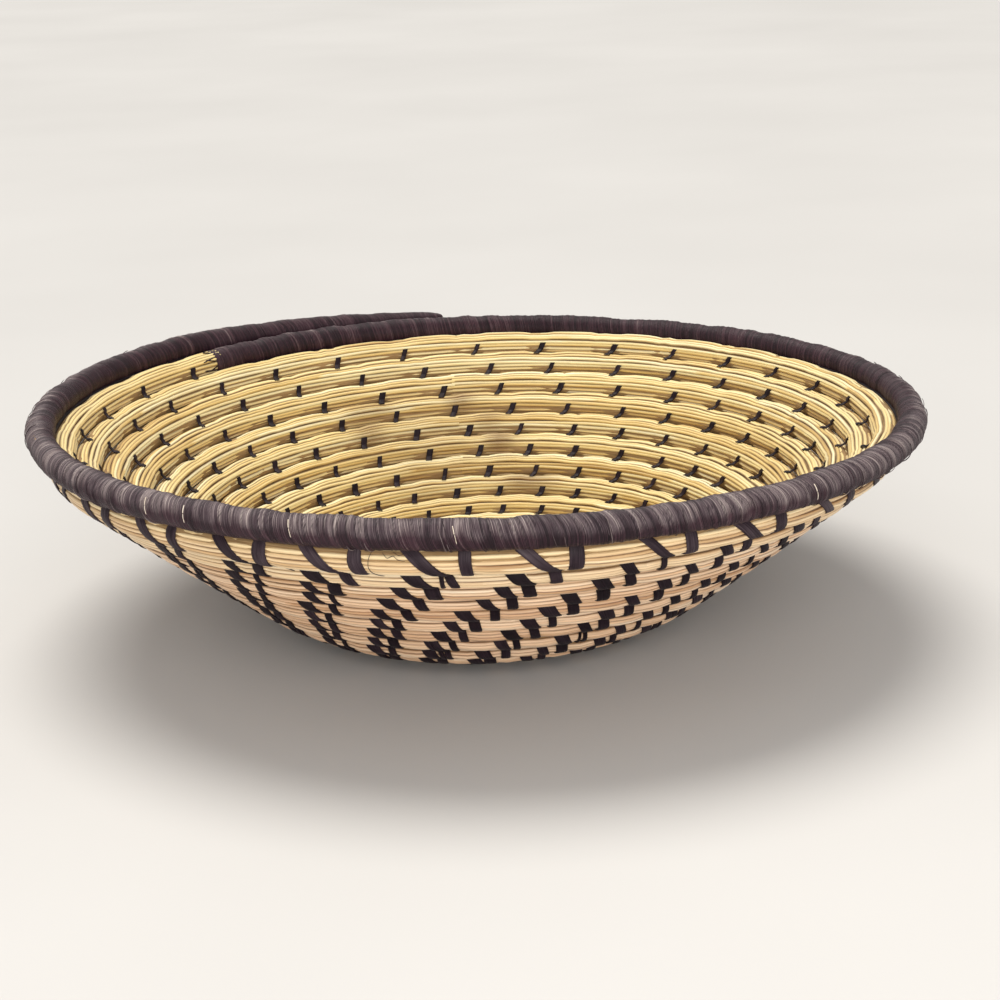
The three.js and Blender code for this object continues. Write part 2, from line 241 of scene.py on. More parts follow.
def lean_of_row(turn):
    return np.where(turn > RIM_START - 1, TOP_SLANT, SLANT)


def leg_top(turn):
    return np.where(turn > RIM_START - 1, to_the_rim(turn) - RIM_TUCK, LEG_TOP)


# Smooth random tracks, the same at every run

SPARE_KNOTS = 4


def track(seed, positions, period):
    """Smooth noise from -1 to 1 along positions, about one swing a period."""
    positions = np.asarray(positions, float)
    first = positions.min() / period
    count = int((positions.max() - positions.min()) / period) + SPARE_KNOTS
    knots = default_rng(seed).uniform(-1, 1, count)
    where = positions / period - first
    index = np.clip(where.astype(int), 0, count - 2)
    share = smooth_step(where - index)
    return knots[index] * (1 - share) + knots[index + 1] * share


def layer(seed, period, size, positions):
    """Smooth noise of a size over positions of any shape."""
    return size * track(seed, positions.ravel(), period).reshape(positions.shape)


# Meshes from arrays of quads

def new_object(name, data):
    made = bpy.data.objects.new(name, data)
    SCENE.collection.objects.link(made)
    return made


class Pile:
    """Gathers patches of quads with per-point values and a map of the grain."""

    def __init__(self):
        self.points = []
        self.quads = []
        self.maps = []
        self.values = {}
        self.total = 0

    def grid(self, points, u, v, jump=0.0, **values):
        """points is (rows, columns, 3), closed round its columns, so the map has one column more."""
        rows, columns = points.shape[:2]
        start = np.arange(rows - 1)[:, None] * columns
        here = np.arange(columns)
        after = (here + 1) % columns
        ring = [start + here, start + here + columns, start + after + columns, start + after]
        self.quads.append(np.stack(ring, axis=-1).reshape(-1, 4) + self.total)
        maps = [np.broadcast_to(grid, (rows, columns + 1)) for grid in (u, v)]
        corners = [
            np.stack([grid[a:rows - 1 + a, b:columns + b] + jump for grid in maps], axis=-1)
            for a, b in ((0, 0), (1, 0), (1, 1), (0, 1))
        ]
        self.maps.append(np.stack(corners, axis=2).reshape(-1, 2))
        self.points.append(points.reshape(-1, 3))
        for name, value in values.items():
            self.values.setdefault(name, []).append(np.broadcast_to(value, (rows, columns)).ravel())
        self.total += rows * columns

    def piece(self, name, material, slot, *nodes):
        mesh = bpy.data.meshes.new(name)
        points = np.concatenate(self.points).astype(np.float32)
        quads = np.concatenate(self.quads).astype(np.int32)
        mesh.vertices.add(len(points))
        mesh.vertices.foreach_set("co", points.ravel())
        mesh.loops.add(quads.size)
        mesh.loops.foreach_set("vertex_index", quads.ravel())
        mesh.polygons.add(len(quads))
        mesh.polygons.foreach_set("loop_start", np.arange(0, quads.size, 4, dtype=np.int32))
        mesh.update(calc_edges=True)
        mesh.polygons.foreach_set("use_smooth", np.ones(len(quads), bool))
        grain = mesh.uv_layers.new(name="grain")
        grain.data.foreach_set("uv", np.concatenate(self.maps).astype(np.float32).ravel())
        for label, parts in self.values.items():
            made = mesh.attributes.new(label, "FLOAT", "POINT")
            made.data.foreach_set("value", np.concatenate(parts).astype(np.float32))
        mesh.validate()
        mesh.materials.append(material)
        piece = new_object(name, mesh)
        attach(piece, "root")
        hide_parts(*nodes)


# Evenly spaced places along and around a strand

FINE_STATIONS = 4000
LEAST_STATIONS = 4
STRAW_FLOOR = 0.15
STRIP_FLOOR = 0.02


def running_total(steps):
    return np.concatenate([[0], np.cumsum(steps)])


def stations(first, last, step):
    """Turns from first to last, spaced by step millimetres along the coil."""
    fine = np.linspace(first, last, FINE_STATIONS)
    lengths = running_total(np.diff(fine) * turn_length((fine[1:] + fine[:-1]) / 2))
    count = max(int(lengths[-1] / step), LEAST_STATIONS)
    return np.interp(np.linspace(0, lengths[-1], count + 1), lengths, fine)


def directions(sides):
    """Evenly spaced round a circle, in radians."""
    return np.arange(sides) / sides * TURN


def around_map(sides, radius, first=0):
    """The map of the grain round a strand, in metres, from a number of whole turns on."""
    return (first + np.arange(sides + 1) / sides) * TURN * radius * MM


def stand_flat(points, floor):
    """Nothing goes below the surface that the bowl stands on."""
    points[..., 2] = np.maximum(points[..., 2], floor * MM)
    return points


# Nodes of the materials

def feed(tree, made, values):
    """Sets numbers and colours on the inputs of a node, and links outputs to them."""
    for name, value in values.items():
        socket = made.inputs[name]
        if isinstance(value, (int, float)):
            socket.default_value = value
        elif isinstance(value, tuple):
            socket.default_value = (*value, 1)
        else:
            tree.links.new(value, socket)
    return made


def node(tree, kind, values, **settings):
    made = tree.nodes.new("ShaderNode" + kind)
    for key, value in settings.items():
        setattr(made, key, value)
    return feed(tree, made, values)


def attribute(tree, name):
    return node(tree, "Attribute", {}, attribute_name=name).outputs["Fac"]


def noise(tree, vector, scale=1.0, detail=2.0, roughness=0.5):
    values = {"Vector": vector, "Scale": scale, "Detail": detail, "Roughness": roughness}
    return node(tree, "TexNoise", values).outputs["Fac"]


def stretched(tree, along, across):
    """The map of the grain, with noise cells as long and as wide as said, in metres."""
    grain = node(tree, "UVMap", {}, uv_map="grain").outputs["UV"]
    mapping = node(tree, "Mapping", {"Vector": grain})
    mapping.inputs["Scale"].default_value = (1 / along, 1 / across, 1)
    return mapping.outputs["Vector"]


def ramp(tree, value, stops):
    """stops are pairs of a position and a colour, from low to high."""
    made = node(tree, "ValToRGB", {"Fac": value})
    elements = made.color_ramp.elements
    while len(elements) < len(stops):
        elements.new(0.5)
    for element, (position, colour) in zip(elements, stops):
        element.position = position
        element.color = (*colour, 1)
    return made.outputs["Color"]


def mix(tree, factor, first, second, how="MIX"):
    values = {"Factor": factor, 6: first, 7: second}
    return node(tree, "Mix", values, data_type="RGBA", blend_type=how).outputs[2]


def maths(tree, first, second, how):
    return node(tree, "Math", {0: first, 1: second}, operation=how).outputs[0]


def weighted(tree, *pairs):
    """The sum of outputs times their weights."""
    total = 0.0
    for value, weight in pairs:
        total = maths(tree, maths(tree, value, weight, "MULTIPLY"), total, "ADD")
    return total


def span(tree, value, low, high, to_low, to_high):
    values = {"Value": value, "From Min": low, "From Max": high, "To Min": to_low, "To Max": to_high}
    return node(tree, "MapRange", values).outputs["Result"]


def grey_of(tree, value):
    """A grey colour as light as the value."""
    values = {"Red": value, "Green": value, "Blue": value}
    return node(tree, "CombineColor", values).outputs["Color"]


def bump(tree, height, distance, strength=1.0):
    values = {"Height": height, "Distance": distance, "Strength": strength}
    return node(tree, "Bump", values).outputs["Normal"]


def new_material(name, inputs_of):
    """inputs_of makes nodes in the tree and gives the inputs of the shader."""
    material = bpy.data.materials.new(name)
    material.use_nodes = True
    tree = material.node_tree
    feed(tree, tree.nodes["Principled BSDF"], inputs_of(tree))
    return material


# Materials

STRAW_STOPS = (0.16, 0.32, 0.5, 0.7, 0.88)
CREAM = (
    (0.44, 0.25, 0.1), (0.66, 0.44, 0.22), (0.82, 0.6, 0.34), (0.9, 0.71, 0.44), (0.94, 0.81, 0.58),
)
# Painted shade with a pinkish painted reflection, for the low rows of the outside
TAN = (
    (0.4, 0.21, 0.1), (0.66, 0.4, 0.22), (0.82, 0.55, 0.34), (0.91, 0.67, 0.45), (0.95, 0.79, 0.59),
)
YELLOW = (
    (0.46, 0.28, 0.08), (0.74, 0.52, 0.18), (0.9, 0.69, 0.29), (0.95, 0.8, 0.41), (0.98, 0.9, 0.58),
)
# Brown patches on the inside of the far wall
STAIN_COLOUR = (0.2, 0.105, 0.03)
# Painted shade where two straws meet
CREVICE_COLOUR = (0.2, 0.085, 0.03)
# Painted shade in the creases at the edges of the rim's folds
GAP_COLOUR = (0.01, 0.005, 0.008)


def straw_colour(tree, streaks):
    """Cream to yellow by tone, with fine lines and brown patches, tan as painted shade on the low outer
    rows, and brown painted shade where two straws meet.
    """
    patches = noise(tree, stretched(tree, along=0.035, across=0.0016))
    joined = weighted(tree, (attribute(tree, "tone"), 0.55), (patches, 0.5))
    cream, tan, yellow = (
        ramp(tree, joined, list(zip(STRAW_STOPS, colours)))
        for colours in (CREAM, TAN, YELLOW)
    )
    # Painted shade with a pinkish painted reflection: the low outer rows go tan
    colour = mix(tree, attribute(tree, "shaded"), cream, tan)
    colour = mix(tree, attribute(tree, "golden"), colour, yellow)
    lines = span(tree, streaks, 0.3, 0.62, 0.78, 1.05)
    colour = mix(tree, 1.0, colour, grey_of(tree, lines), "MULTIPLY")
    colour = mix(tree, attribute(tree, "stain"), colour, STAIN_COLOUR)
    # Painted shade between the straws, darkest at their edges
    between = maths(tree, attribute(tree, "crevice"), 1.8, "POWER")
    return mix(tree, maths(tree, between, 0.9, "MULTIPLY"), colour, CREVICE_COLOUR)


def straw(tree):
    streaks = noise(tree, stretched(tree, along=0.012, across=0.00035), detail=3.0, roughness=0.6)
    return {
        "Base Color": straw_colour(tree, streaks),
        "Roughness": span(tree, streaks, 0.3, 0.7, 0.56, 0.38),
        "Sheen Weight": 0.12,
        "Sheen Roughness": 0.4,
        "Specular IOR Level": 0.45,
        "Normal": bump(tree, streaks, 0.00012, 0.7),
    }


# Painted shade: the straw deep in the bundle, seen between the outer straws, is dark brown; the disc in the
# middle of the base is too
def bundle_inside(tree):
    streaks = noise(tree, stretched(tree, along=0.012, across=0.0005), detail=3.0)
    colour = ramp(tree, streaks, [(0.3, (0.2, 0.115, 0.045)), (0.7, (0.42, 0.27, 0.12))])
    return {"Base Color": colour, "Roughness": 0.8, "Normal": bump(tree, streaks, 0.0003)}


def sewing_strip(tree):
    """Dyed strip: nearly black, and grey where painted light catches it."""
    fibres = noise(tree, stretched(tree, along=0.012, across=0.00028), detail=3.0, roughness=0.6)
    patches = noise(tree, stretched(tree, along=0.006, across=0.003))
    joined = weighted(tree, (fibres, 0.6), (patches, 0.25), (attribute(tree, "tone"), 0.18))
    black = ramp(tree, joined, [
        (0.28, (0.004, 0.002, 0.003)),
        (0.5, (0.009, 0.004, 0.007)),
        (0.68, (0.022, 0.012, 0.018)),
        (0.84, (0.055, 0.036, 0.045)),
    ])
    grey = ramp(tree, joined, [
        (0.3, (0.01, 0.005, 0.008)),
        (0.48, (0.036, 0.022, 0.03)),
        (0.62, (0.088, 0.063, 0.074)),
        (0.8, (0.2, 0.16, 0.165)),
    ])
    return {
        "Base Color": mix(tree, attribute(tree, "grey"), black, grey),
        "Roughness": span(tree, fibres, 0.3, 0.7, 0.58, 0.38),
        "Specular IOR Level": 0.14,
        "Normal": bump(tree, fibres, 0.00013, 0.8),
    }


def rim_strip(tree):
    """The wrapping: streaked, with painted light on its top, painted shade below, and painted shade between
    its folds.
    """
    fibres = noise(tree, stretched(tree, along=0.018, across=0.00026), detail=3.0, roughness=0.7)
    broad = noise(tree, stretched(tree, along=0.024, across=0.0011))
    joined = weighted(tree, (fibres, 0.8), (broad, 0.34), (attribute(tree, "tone"), 0.24))
    # Painted light for the top of the rim
    faded = ramp(tree, joined, [
        (0.5, (0.014, 0.007, 0.011)),
        (0.61, (0.042, 0.025, 0.032)),
        (0.69, (0.095, 0.067, 0.076)),
        (0.76, (0.19, 0.148, 0.15)),
        (0.87, (0.46, 0.39, 0.36)),
    ])
    # Painted shade for the underside of the rim
    deep = ramp(tree, joined, [
        (0.5, (0.005, 0.0015, 0.003)),
        (0.66, (0.018, 0.005, 0.01)),
        (0.8, (0.06, 0.026, 0.036)),
        (0.94, (0.17, 0.125, 0.125)),
    ])
    colour = mix(tree, attribute(tree, "worn"), deep, faded)
    # Painted shade at the edges of the folds
    gap = maths(tree, attribute(tree, "gap"), 0.85, "MULTIPLY")
    return {
        "Base Color": mix(tree, gap, colour, GAP_COLOUR),
        "Roughness": span(tree, fibres, 0.3, 0.7, 0.6, 0.42),
        "Specular IOR Level": 0.25,
        "Normal": bump(tree, fibres, 0.0003),
    }


# Painted highlight: a pale glossy strand stands for a glint on an edge of the wrapping
def pale_fibre(tree):
    streaks = noise(tree, stretched(tree, along=0.004, across=0.0002))
    colour = ramp(tree, streaks, [(0.3, (0.5, 0.37, 0.27)), (0.7, (0.92, 0.84, 0.72))])
    return {"Base Color": colour, "Roughness": 0.28, "Coat Weight": 0.4, "Coat Roughness": 0.2}


def plain_floor(tree):
    where = node(tree, "NewGeometry", {}).outputs["Position"]
    cloud = noise(tree, where, scale=3.0, detail=3.0)
    colour = ramp(tree, cloud, [(0.3, (0.53, 0.52, 0.51)), (0.7, (0.57, 0.56, 0.55))])
    return {"Base Color": colour, "Roughness": 0.75}


STRAW = new_material("straw", straw)
CORE = new_material("bundle_core", bundle_inside)
STRIP = new_material("sewing_strip", sewing_strip)
RIM = new_material("rim_strip", rim_strip)
PALE = new_material("pale_fibre", pale_fibre)
FLOOR = new_material("studio_floor", plain_floor)


# The bundle, and the straws that show round it

BUNDLE_RADIUS = 4.93
BUNDLE_SQUASH = 0.96
STRAW_RADIUS = 0.72
RING_RADIUS = BUNDLE_RADIUS - STRAW_RADIUS
STRAW_TRACKS = 19
STRAW_SIDES = 5
BUNDLE_FIRST = 0.06
RIM_LEAD = 0.0155
START_SHARE = 0.45
GROWING_TURNS = 0.5
NECK_LENGTH = 0.006
NECK_SHARE = 0.84
OUTSIDE_PINCH = 0.14
INSIDE_PINCH = 0.15
PINCH_SPARE = 0.015
PINCH_LENGTH = 3.0
# Layers of noise: period in metres, and size in degrees, in mm or as a share
LONG_DRIFT = (0.09, 5.0)
SHORT_DRIFT = (0.024, 3.0)
RING_BUMPS = (0.03, 0.13)
SIZE_CHANGES = (0.11, 0.08)
# How the painted shade between straws lightens on their outer faces, and under the row above
SIDE_LIGHT = 0.35
FACE_LIGHT = 0.65
UNDER_ROW_ARC = 40
UNDER_ROW_CREVICE = 0.55
STRAW_STITCHES = (4, 12)
MOST_STRAWS = 400
STRAW_TONE = (0.56, 0.26)
STRAW_JUMP = 0.37
# Where the painted tan shade of the low outer rows ends, in turns
LOW_ROWS_END = 15.6
LOW_ROWS_FADE = 2.2
CUT_OVERLAP = 0.0015
# Name, first and last turn, and the spacing of the stations in mm
BUNDLE_CUTS = (
    ("base", BUNDLE_FIRST, 6.5, 4.2),
    ("edge", 6.5, 9.5, 3.8),
    ("low", 9.5, 11.5, 3.6),
    ("middle", 11.5, 13.5, 3.2),
    ("high", 13.5, 15.0, 3.2),
    ("top", 15.0, RIM_START - RIM_LEAD + 0.002, 3.0),
)
# Browner straw inside, on the far side: direction and turn, width in degrees, height in turns, depth
STAIN_PATCHES = (
    (115, 11.6, 4.5, 1.2, 0.62), (111, 12.5, 5, 0.5, 0.45), (94, 12.5, 3.5, 0.6, 0.68),
    (91, 12.0, 3.5, 0.5, 0.62), (88, 11.2, 3.5, 0.6, 0.62), (85.5, 10.4, 4.5, 0.7, 0.78),
    (77, 8.6, 9, 0.5, 0.66), (100, 10.6, 17, 2.3, 0.3), (104, 9.0, 14, 1.6, 0.28),
)


def bundle_share(turn):
    """Thin where it starts, and drawn together where the rim's wrapping begins."""
    full = np.clip(START_SHARE + (1 - START_SHARE) * turn / GROWING_TURNS, START_SHARE, 1.0)
    neck = smooth_step((turn - (RIM_START - NECK_LENGTH)) / NECK_LENGTH)
    return full * (1 - (1 - NECK_SHARE) * neck)


def pinch_at(phase, turn):
    """How far a stitch draws the bundle in, from 0 to 1, where stitches are at whole phases."""
    apart = stitches_apart(turn)
    away = (phase / apart + 0.5) % 1.0 - 0.5
    distance = away * apart * turn_length(turn) / STITCHES_PER_TURN
    return np.exp(-(distance / PINCH_LENGTH) ** 2)


def outside_pinch(turn, angle):
    """By the slanted legs of the row's own stitches, and the legs from the row above."""
    own = pinch_at(count_at(turn) - lean_of_row(turn) * lean_share(angle, leg_top(turn)), turn)
    above = pinch_at(count_at(turn + 1) + FOOT_LEAN * foot_share(angle), turn)
    return np.maximum(own, above)


def inside_pinch(turn):
    return np.maximum(pinch_at(count_at(turn), turn), pinch_at(count_at(turn + 1), turn))


# Brown patches on the inside of the far wall, by direction and turn
def brown_stain(turns):
    angle = np.degrees(angle_at(turns)) % 360
    total = np.zeros_like(turns)
    for where, turn, wide, tall, depth in STAIN_PATCHES:
        spot = np.exp(-((angle - where) / wide) ** 2 - ((turns - turn) / tall) ** 2)
        total = np.maximum(total, depth * spot)
    return total


def straw_crevice(number):
    """Painted shade: dark between the straws, and less so close to the row above."""
    sides = directions(STRAW_SIDES)
    dark = 1 - unit(np.cos(sides)) * SIDE_LIGHT - np.where(sides == 0, FACE_LIGHT, 0.0)
    under_row = number / STRAW_TRACKS * 360.0 < UNDER_ROW_ARC
    return dark * (UNDER_ROW_CREVICE if under_row else 1.0)


def straw_changes(number, turns):
    """How often a track's straw has changed before each turn, and its tone there."""
    rng = default_rng(1000 * number + 7)
    ends = np.cumsum(rng.integers(*STRAW_STITCHES, MOST_STRAWS))
    change = np.searchsorted(ends, turns * STITCHES_PER_TURN + rng.uniform(0, 10))
    tones = unit(rng.normal(*STRAW_TONE, MOST_STRAWS + 1))
    return change, tones[change]


def straw_angle(seed, number, along):
    """The direction of a track off the bundle; it wanders a little."""
    drift = layer(seed + 1, *LONG_DRIFT, along) + layer(seed + 2, *SHORT_DRIFT, along)
    return np.radians(number / STRAW_TRACKS * 360.0 + drift)


def straw_points(seed, turns, along, angle, share, pinch):
    ring = RING_RADIUS * share * (1 - pinch + PINCH_SPARE)
    ring = ring + layer(seed + 3, *RING_BUMPS, along)
    size = STRAW_RADIUS * share * (1 + layer(seed + 4, *SIZE_CHANGES, along))
    up = ring * np.cos(angle) * BUNDLE_SQUASH
    out = ring * np.sin(angle)
    sides = directions(STRAW_SIDES) + angle[:, None]
    ups = up[:, None] + size[:, None] * np.cos(sides)
    outs = out[:, None] + size[:, None] * np.sin(sides)
    return stand_flat(place(turns[:, None], ups, outs), STRAW_FLOOR)


def add_straws(pile, first, last, step):
    turns = stations(first, last, step)
    along = coil_distance(turns)
    share = bundle_share(turns)
    inner = inside_pinch(turns)
    stain = brown_stain(turns)
    low_row = smooth_step((LOW_ROWS_END - turns) / LOW_ROWS_FADE)
    for number in range(STRAW_TRACKS):
        seed = 31 * number
        angle = straw_angle(seed, number, along)
        is_inside = np.sin(angle) < 0
        outer = outside_pinch(turns, 90 - np.degrees(angle))
        pinch = np.where(is_inside, INSIDE_PINCH * inner, OUTSIDE_PINCH * outer)
        points = straw_points(seed, turns, along, angle, share, pinch)
        change, tones = straw_changes(number, turns)
        golden = unit(0.5 - 0.9 * np.sin(angle))
        pile.grid(
            points, along[:, None], around_map(STRAW_SIDES, STRAW_RADIUS, number),
            jump=change[:-1, None] * STRAW_JUMP, tone=tones[:, None], golden=golden[:, None],
            stain=np.where(is_inside, stain, 0.0)[:, None], crevice=straw_crevice(number),
            shaded=(low_row * (1 - golden))[:, None],
        )


def bundle_straws():
    for name, first, last, step in BUNDLE_CUTS:
        pile = Pile()
        add_straws(pile, first, last + CUT_OVERLAP, step)
        pile.piece(f"bundle_straws_{name}", STRAW, "straw_bundle", "foundation_coil")


# The filling: the joint under the rim, the core of the bundle and the middle of the base

FILLING_STEP = 5.0
JOINT_RADIUS = 1.15
JOINT_SIDES = 6
JOINT_END = ROWS - 0.004
CORE_RADIUS = 3.7
CORE_HALF_HEIGHT = 4.88
CORE_SIDES = 8
CORE_END = ROWS - 0.016
MIDDLE_SIDES = 16
MIDDLE_MAP_STEPS = (0.004, 0.002)
# Distance from the axis and height of the disc at the start of the coil
MIDDLE_PROFILE = ((0.2, 7.0), (6.0, 7.0), (8.0, 4.9), (6.0, 2.6), (0.2, 2.6))


def rim_joint():
    """What lies in the groove between the rim and the row under it."""
    pile = Pile()
    turns = stations(RIM_START, JOINT_END, FILLING_STEP)
    middles = (place(turns, rim_drop(turns), 0.0) + place(turns - 1, 0.0, 0.0)) / 2
    sides = directions(JOINT_SIDES)[None, :, None]
    level = middles * [1, 1, 0]
    outward = (level / np.linalg.norm(level, axis=1, keepdims=True))[:, None]
    ring = outward * np.cos(sides) + [0, 0, 1] * np.sin(sides)
    around = np.arange(JOINT_SIDES + 1) * MM
    pile.grid(middles[:, None] + ring * JOINT_RADIUS * MM, coil_distance(turns)[:, None], around,
              tone=0.2, grey=0.0)
    pile.piece("rim_joint", STRIP, "sewing_strip", "foundation_coil")


def add_middle(pile):
    """The start of the coil: a disc with a rounded edge."""
    radii, heights = np.array(MIDDLE_PROFILE).T[:, :, None]
    sides = directions(MIDDLE_SIDES)
    points = np.stack([radii * np.cos(sides), radii * np.sin(sides), heights + 0 * sides], axis=-1) * MM
    along, around = MIDDLE_MAP_STEPS
    pile.grid(points, np.arange(len(radii))[:, None] * along, np.arange(MIDDLE_SIDES + 1) * around)


def add_core(pile):
    turns = stations(BUNDLE_FIRST, CORE_END, FILLING_STEP)
    sides = directions(CORE_SIDES)
    share = bundle_share(turns)[:, None]
    taper = rim_size(turns)[:, None]
    ups = CORE_HALF_HEIGHT * share * taper * np.cos(sides) + rim_drop(turns)[:, None]
    outs = CORE_RADIUS * share * taper * np.sin(sides)
    points = stand_flat(place(turns[:, None], ups, outs), STRAW_FLOOR)
    pile.grid(points, coil_distance(turns)[:, None], around_map(CORE_SIDES, CORE_RADIUS))


def bundle_core():
    pile = Pile()
    add_middle(pile)
    add_core(pile)
    pile.piece("bundle_core", CORE, "straw_bundle", "foundation_coil")


# A flat strip, six points across its face and four across its back, from -1 to 1

STRIP_THICKNESS = 0.38
ACROSS = np.array([-1.0, -0.8, -0.3, 0.3, 0.8, 1.0])
UNDER = np.array([1.0, 0.4, -0.4, -1.0])
SEED_JUMP = 0.0071


def band(pile, middle, half, rows_up, up, out, facing, crown, map_along, map_width, **values):
    """A flat strip along stations. facing is the direction off the bundle, from out towards up."""
    upper = middle[:, None] + half[:, None] * ACROSS
    lower = middle[:, None] + half[:, None] * UNDER
    rise = STRIP_THICKNESS + crown
    rows_up = rows_up[:, None]
    sine, cosine = np.sin(facing)[:, None], np.cos(facing)[:, None]
    top = place(upper, up[:, None] + rise * sine, out[:, None] + rise * cosine, rows_up)
    under = place(lower, up[:, None], out[:, None], rows_up)
    ring = np.concatenate([top, under], axis=1)
    v_top = (ACROSS + 1) / 2 * map_width
    v = np.concatenate([v_top, (UNDER + 1) / 2 * map_width, v_top[:1]])
    pile.grid(stand_flat(ring, STRIP_FLOOR), map_along[:, None], v, **values)


# The sewing: forked stitches over two rows, with their ends tucked into the grooves

# Directions in degrees, lengths in mm, and leans as shares of the way to the next stitch
STRIP_RADIUS = 4.6
GROOVE_DEPTH = 3.35
LEG_FOOT = -66.0
GROOVE_EDGE = 50.0
LOWER_POINTS = 8
UPPER_POINTS = 9
TUCKED_TURN = 8
TUCKED_RADIUS = 6.3
TOP_SPREAD = 0.13
WIDEST_BY_SLANT = 1.15
WIDTH_WAVE = 0.05
STITCH_SWAY = 0.4
FOOT_SWAY = 0.03
SINGLE_FOOT_LEAN = 0.01
FOOT_WIDTHS = [0.62, 0.84, 0.95, 1.0, 1.06]
STITCH_CROWN = np.array([-0.1, 0.02, 0.07, 0.06, 0.02, -0.1])
CROWN_CHANGE = 0.05
# Share of the painted light left on a leg in its groove
GROOVE_GREY = 0.3
STITCH_MAP_STEP = 0.0137
STITCH_WIDTH = 4.0
NARROWER_BY_ROW = 0.06
SPACING_SHARE = 0.235
WIDTH_RANGE = (0.7, 1.12)
SLANT_RANGE = (0.9, 1.1)
STITCH_TONE = (0.45, 0.22)
DOUBLED_CHANCE = 0.09
DOUBLED_GAP = 0.6
DOUBLED_WIDTHS = (0.62, 0.52)


def leg_points(upper, lower, top, under_rim):
    """From the foot of a stitch: directions off the row, rows up, distances up and out."""
    forked = upper and lower
    degrees, rows_up = [], []
    if lower:
        degrees += list(np.linspace(LEG_FOOT, GROOVE_EDGE if upper else top, LOWER_POINTS))
        rows_up += [-1] * LOWER_POINTS
    if forked:
        degrees.append(0)
        rows_up.append(-1)
    if upper:
        degrees += list(np.linspace(-GROOVE_EDGE if lower else LEG_FOOT, top, UPPER_POINTS))
        rows_up += [0] * UPPER_POINTS
    if under_rim:
        degrees.append(top + TUCKED_TURN)
        rows_up.append(rows_up[-1])
    degrees = np.array(degrees, float)
    radii = np.full(len(degrees), STRIP_RADIUS)
    if under_rim:
        radii[-1] = TUCKED_RADIUS
    up = radii * np.sin(np.radians(degrees))
    out = radii * np.cos(np.radians(degrees))
    if forked:
        up[LOWER_POINTS] = PITCH / 2
        out[LOWER_POINTS] = GROOVE_DEPTH
    return degrees, np.array(rows_up, float), up, out


def strip_widths(rng, width, middle, distance, climb, is_forked, is_upper):
    """Wider where the strip slants; the foot of a forked stitch may be thinner."""
    slope = np.gradient(middle, distance)
    wide = width * np.minimum(np.sqrt(1 + slope ** 2), WIDEST_BY_SLANT) * (1 + TOP_SPREAD * climb)
    wide = wide * (1 + WIDTH_WAVE * rng.uniform(-1, 1) * np.cos(distance * 0.5))
    foot_width = rng.choice(FOOT_WIDTHS) if is_forked else 1.0
    return np.where(is_upper, wide, wide * foot_width)


def stitch(pile, groove_turn, upper, lower, lean, width, seed, tone, grey, under_rim):
    """A leg over the row above its groove, a leg over the row below, or both."""
    rng = default_rng(seed)
    top = LEG_TOP
    if under_rim:
        top = to_the_rim(groove_turn - (0 if upper else 1)) - RIM_TUCK
    degrees, rows_up, up, out = leg_points(upper, lower, top, under_rim)
    is_upper = rows_up == 0
    climb = np.where(is_upper, lean_share(degrees, top), 0.0)
    fall = np.where(is_upper, 0.0, foot_share(degrees))
    if upper and lower:
        fall[LOWER_POINTS] = 0.0
    length = turn_length(groove_turn - 0.5)
    sway = rng.uniform(-STITCH_SWAY, STITCH_SWAY) / length
    foot = (FOOT_LEAN if upper else SINGLE_FOOT_LEAN) + rng.uniform(-FOOT_SWAY, FOOT_SWAY)
    middle = groove_turn + (lean * climb - foot * fall) / STITCHES_PER_TURN + sway
    distance = running_total(np.hypot(np.diff(up + rows_up * PITCH), np.diff(out)))
    wide = strip_widths(rng, width, middle * length, distance, climb, upper and lower, is_upper)
    crown = STITCH_CROWN.copy()
    crown[3] += CROWN_CHANGE * rng.uniform(-1, 1)
    # Painted light: a leg greys as it climbs, and stays dark in the groove
    fading = GROOVE_GREY + (1 - GROOVE_GREY) * climb if upper else np.ones_like(climb)
    band(pile, middle, wide / 2 / length, rows_up, up, out, np.radians(degrees), crown,
         distance * MM + seed * STITCH_MAP_STEP, width * MM, jump=seed * SEED_JUMP, tone=tone,
         grey=unit(grey * fading)[:, None])


def stitch_width(turn):
    """Strips are a little narrower where the rows are short."""
    apart = stitches_apart(turn - 0.5)
    spacing = turn_length(turn - 0.5) / STITCHES_PER_TURN * apart
    return min(STITCH_WIDTH - NARROWER_BY_ROW * (ROWS - turn), spacing * SPACING_SHARE)


def row_of_stitches(name, first, last, node_name, upper=True, lower=True, lean=SLANT, grey=0.0,
                    under_rim=False, doubled=DOUBLED_CHANCE, slot="sewing_strip"):
    """Some stitches are doubled: two thin strips side by side."""
    pile = Pile()
    for number in numbers_between(first, last):
        turn = STITCH_TURNS[number]
        rng = default_rng(number)
        width = stitch_width(turn) * rng.uniform(*WIDTH_RANGE)
        tone = unit(rng.normal(*STITCH_TONE))
        slant = lean * rng.uniform(*SLANT_RANGE)
        strips = [(0.0, 1.0, number)]
        if rng.uniform() < doubled:
            side = width * DOUBLED_GAP / turn_length(turn - 0.5) / 2
            strips = [(-side, DOUBLED_WIDTHS[0], number), (side, DOUBLED_WIDTHS[1], number + 5000)]
        for side, share, seed in strips:
            stitch(pile, turn + side, upper, lower, slant, width * share, seed, tone, grey, under_rim)
    pile.piece(name, STRIP, slot, node_name)


def wall_stitches():
    # Painted light: the legs of the top row are painted greyest
    row_of_stitches("stitches_row_01", RIM_START - 1, RIM_START - 0.014, "sewing_strip_row_01",
                    lean=TOP_SLANT, grey=0.72, under_rim=True)
    for row in range(2, STITCHED_ROWS + 1):
        row_of_stitches(f"stitches_row_{row:02d}", RIM_START - row, RIM_START - row + 1,
                        f"sewing_strip_row_{row:02d}", grey=0.12)


